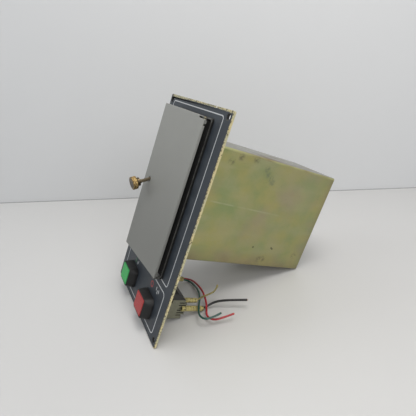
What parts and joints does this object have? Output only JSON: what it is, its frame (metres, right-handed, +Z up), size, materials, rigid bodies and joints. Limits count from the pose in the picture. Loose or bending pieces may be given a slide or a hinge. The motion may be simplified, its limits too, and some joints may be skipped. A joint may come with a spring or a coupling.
{
  "type": "magnetic motor starter",
  "caption": "Panel mounted motor starter: deep zinc enclosure behind a flat front plate with an access door, thumbscrew, push buttons and cut control leads.",
  "frame": {"origin": "centre of the corner hole pattern on the rear face of the front panel", "axes": "+X to the right seen from the front, +Y back into the enclosure, +Z up"},
  "size_m": [0.1858, 0.2896, 0.3],
  "materials": {
    "zinc_plate": "yellow zinc plated",
    "grey_film": "printed polyester film",
    "white_ink": "screen printed",
    "black_paint": "satin",
    "foam_rubber": "matt",
    "zinc_steel": "zinc plated",
    "door_grey": "satin",
    "brass": "worn",
    "black_phenolic": "satin",
    "green_plastic": "gloss",
    "red_plastic": "gloss",
    "spring_steel": "bright",
    "olive_moulding": "satin",
    "black_moulding": "satin",
    "contact_brass": "bright",
    "sleeve_yellow": "satin",
    "zinc_box": "stained yellow zinc",
    "core_steel": "ground",
    "white_nylon": "satin",
    "copper_wire": "enamelled",
    "wire_red": "satin",
    "wire_green": "satin",
    "wire_black": "satin",
    "wire_olive": "satin"
  },
  "bodies": {
    "panel": {"front_panel": "zinc_plate", "panel_overlay": "grey_film", "panel_print": "white_ink", "door_rim": "black_paint", "rim_seal": "foam_rubber", "weld_nut": "zinc_steel", "start_bezel": "black_phenolic", "start_spring": "spring_steel", "start_block": "olive_moulding", "start_crown": "black_moulding", "stop_bezel": "black_phenolic", "stop_spring": "spring_steel", "stop_block": "olive_moulding", "stop_crown": "black_moulding", "block_contacts": "contact_brass", "block_terminals": "zinc_steel", "locknuts": "zinc_steel", "marker_sleeves": "sleeve_yellow", "enclosure": "zinc_box", "panel_studs": "zinc_steel", "flange_nuts": "zinc_steel", "grommet": "foam_rubber", "mount_plate": "zinc_steel", "contactor_base": "black_phenolic", "mounting_screws": "zinc_steel", "fixed_core": "core_steel", "coil_bobbin": "white_nylon", "coil_winding": "copper_wire", "power_contacts": "contact_brass", "power_terminals": "zinc_steel", "return_springs": "spring_steel", "arc_cover": "black_moulding", "overload_housing": "black_moulding", "heaters": "contact_brass", "overload_links": "contact_brass", "load_lugs": "contact_brass", "load_terminals": "zinc_steel", "reset_spring": "spring_steel", "wire_red": "wire_red", "wire_green": "wire_green", "wire_black": "wire_black", "wire_olive": "wire_olive"},
    "door": {"door_pan": "door_grey", "hinge_pins": "zinc_steel"},
    "screw_washer": {"retaining_clip": "zinc_steel"},
    "screw_slide": {"thumbscrew_collar": "brass"},
    "screw_turn": {"thumbscrew_shaft": "brass", "thumbscrew_knob": "brass"},
    "start_button": {"start_cap": "green_plastic", "start_bridge": "contact_brass"},
    "stop_button": {"stop_cap": "red_plastic", "stop_bridge": "contact_brass"},
    "contactor_slide": {"armature": "core_steel", "contact_carrier": "black_moulding", "moving_bridges": "contact_brass"},
    "reset_plunger": {"reset_button": "red_plastic"},
    "dial": {"trip_dial": "white_nylon"}
  },
  "joints": [
    {"name": "door_hinge", "type": "hinge", "parent": "panel", "child": "door", "pos_m": [0.0494, -0.0116, 0.03], "axis": [0, 0, 1], "range_deg": [-6, 84]},
    {"name": "screw_tilt", "type": "hinge", "parent": "door", "child": "screw_washer", "pos_m": [-0.03071, -0.02334, 0.0324], "axis": [-0.9945, -0.1045, 0], "range_deg": [0, 25]},
    {"name": "screw_draw", "type": "slide", "parent": "screw_washer", "child": "screw_slide", "axis": [-0.0947, 0.9013, 0.4226], "range_m": [0, 0.0142]},
    {"name": "screw_spin", "type": "hinge", "parent": "screw_slide", "child": "screw_turn", "pos_m": [-0.03071, -0.02334, 0.0324], "axis": [-0.0947, 0.9013, 0.4226], "continuous": true},
    {"name": "start_press", "type": "slide", "parent": "panel", "child": "start_button", "axis": [0, 1, 0], "range_m": [0, 0.003], "stiffness_N_per_m": 900, "springref_m": -0.004, "deforming": ["start_spring"]},
    {"name": "stop_press", "type": "slide", "parent": "panel", "child": "stop_button", "axis": [0, 1, 0], "range_m": [0, 0.003], "stiffness_N_per_m": 900, "springref_m": -0.004, "deforming": ["stop_spring"]},
    {"name": "contactor_pull", "type": "slide", "parent": "panel", "child": "contactor_slide", "axis": [0, 1, 0], "range_m": [0, 0.0025], "stiffness_N_per_m": 1200, "springref_m": -0.005, "deforming": ["return_springs"]},
    {"name": "reset_press", "type": "slide", "parent": "panel", "child": "reset_plunger", "axis": [0, 1, 0], "range_m": [0, 0.0025], "stiffness_N_per_m": 400, "springref_m": -0.003, "deforming": ["reset_spring"]},
    {"name": "dial_turn", "type": "hinge", "parent": "panel", "child": "dial", "pos_m": [-0.0216, 0.1624, -0.014], "axis": [0, 1, 0], "range_deg": [-120, 120]}
  ],
  "couplings": [
    {"joint": "screw_tilt", "follows": "screw_draw", "rad_per_m": 30.72}
  ]
}
